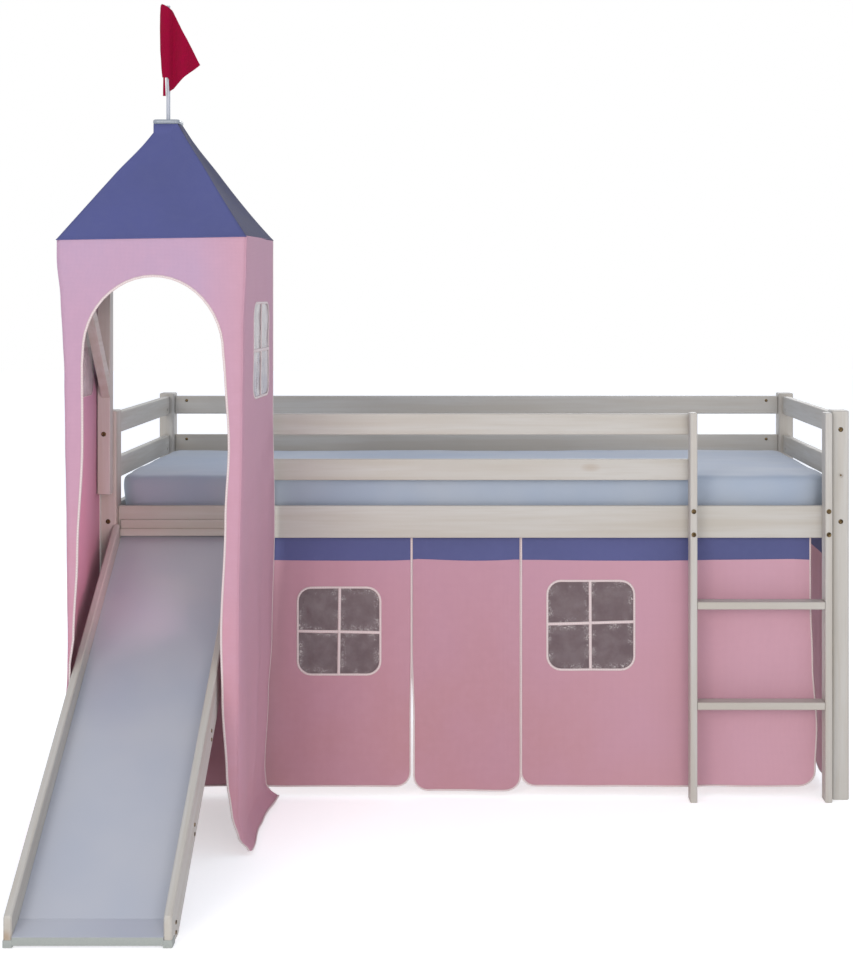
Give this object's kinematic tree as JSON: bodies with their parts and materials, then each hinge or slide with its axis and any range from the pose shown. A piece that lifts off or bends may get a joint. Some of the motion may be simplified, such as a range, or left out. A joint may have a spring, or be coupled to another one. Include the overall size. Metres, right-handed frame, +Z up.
{
  "type": "mid-sleeper bed with slide and play tower",
  "caption": "Child's raised single bed with guard rails, slide under a fabric tower with a flag, upright ladder and hanging play curtains round the space underneath.",
  "frame": {"origin": "middle of the footprint on the floor, between the slide's foot and the back posts and between the two bed ends", "axes": "+X along the bed towards the ladder end, +Y from the slide's foot to the back of the bed, +Z up"},
  "size_m": [2.083, 2.16, 2.17],
  "materials": {
    "painted_wood": "satin white glaze over pine",
    "slide_lacquer": "smooth white lacquer",
    "bare_wood": "planed, unfinished pine",
    "rose_cotton": "plain-woven cotton",
    "violet_cotton": "plain-woven cotton",
    "crimson_cloth": "plain-woven cotton",
    "fitted_sheet": "soft cotton jersey over foam",
    "clear_film": "clear flexible film"
  },
  "bodies": {
    "bed": {"post_left_front": "painted_wood", "post_left_back": "painted_wood", "post_right_front": "painted_wood", "post_right_back": "painted_wood", "side_rail_front": "painted_wood", "side_rail_back": "painted_wood", "guard_back_upper": "painted_wood", "guard_back_lower": "painted_wood", "guard_front_upper": "painted_wood", "guard_front_lower": "painted_wood", "end_rail_left_upper": "painted_wood", "end_rail_left_middle": "painted_wood", "end_rail_left_bed": "painted_wood", "end_rail_right_upper": "painted_wood", "end_rail_right_middle": "painted_wood", "end_rail_right_bed": "painted_wood", "slide_entry_board": "painted_wood", "slat_ledge_front": "bare_wood", "slat_ledge_back": "bare_wood", "slat_roll": "bare_wood", "ladder_rail_left": "painted_wood", "ladder_rail_right": "painted_wood", "ladder_rung_1": "painted_wood", "ladder_rung_2": "painted_wood", "slide_rail_left": "painted_wood", "slide_rail_right": "painted_wood", "slide_deck": "slide_lacquer", "slide_foot_board": "slide_lacquer", "slide_header_board": "painted_wood", "tower_upright_left": "painted_wood", "tower_upright_right": "painted_wood", "tower_arm_left": "painted_wood", "tower_arm_right": "painted_wood", "tower_brace_left": "painted_wood", "tower_brace_right": "painted_wood", "tower_front_bar": "painted_wood", "tower_hub": "painted_wood", "tower_cap": "painted_wood", "tower_rafter_front_left": "bare_wood", "tower_rafter_front_right": "bare_wood", "tower_rafter_back_right": "bare_wood", "tower_rafter_back_left": "bare_wood", "flagpole": "painted_wood", "tower_roof_fabric": "violet_cotton", "tower_front_fabric": "rose_cotton", "tower_wall_left": "rose_cotton", "tower_wall_right": "rose_cotton", "tower_window_left": "clear_film", "tower_window_right": "clear_film", "curtain_tape_front": "violet_cotton", "curtain_tape_end": "violet_cotton"},
    "mattress": {"mattress": "fitted_sheet"},
    "curtain_left": {"curtain_left": "rose_cotton", "curtain_window_left": "clear_film"},
    "curtain_middle": {"curtain_middle": "rose_cotton"},
    "curtain_right": {"curtain_right": "rose_cotton", "curtain_window_right": "clear_film"},
    "curtain_end": {"curtain_end": "rose_cotton"},
    "flag": {"flag": "crimson_cloth"}
  },
  "joints": [
    {"name": "mattress_lift", "type": "slide", "parent": "bed", "child": "mattress", "axis": [0, 0, 1], "range_m": [0, 0.4]},
    {"name": "curtain_left_swing", "type": "hinge", "parent": "bed", "child": "curtain_left", "pos_m": [-0.5847, 0.1273, 0.7236], "axis": [1, 0, 0], "range_deg": [0, 70]},
    {"name": "curtain_middle_swing", "type": "hinge", "parent": "bed", "child": "curtain_middle", "pos_m": [-0.023, 0.1273, 0.7236], "axis": [1, 0, 0], "range_deg": [-60, 70]},
    {"name": "curtain_right_swing", "type": "hinge", "parent": "bed", "child": "curtain_right", "pos_m": [0.5377, 0.1273, 0.7236], "axis": [1, 0, 0], "range_deg": [0, 70]},
    {"name": "curtain_end_swing", "type": "hinge", "parent": "bed", "child": "curtain_end", "pos_m": [1.0057, 0.58, 0.7236], "axis": [0, -1, 0], "range_deg": [0, 70]},
    {"name": "flag_turn", "type": "hinge", "parent": "bed", "child": "flag", "pos_m": [-0.806, -0.175, 2.074], "axis": [0, 0, 1], "continuous": true}
  ]
}
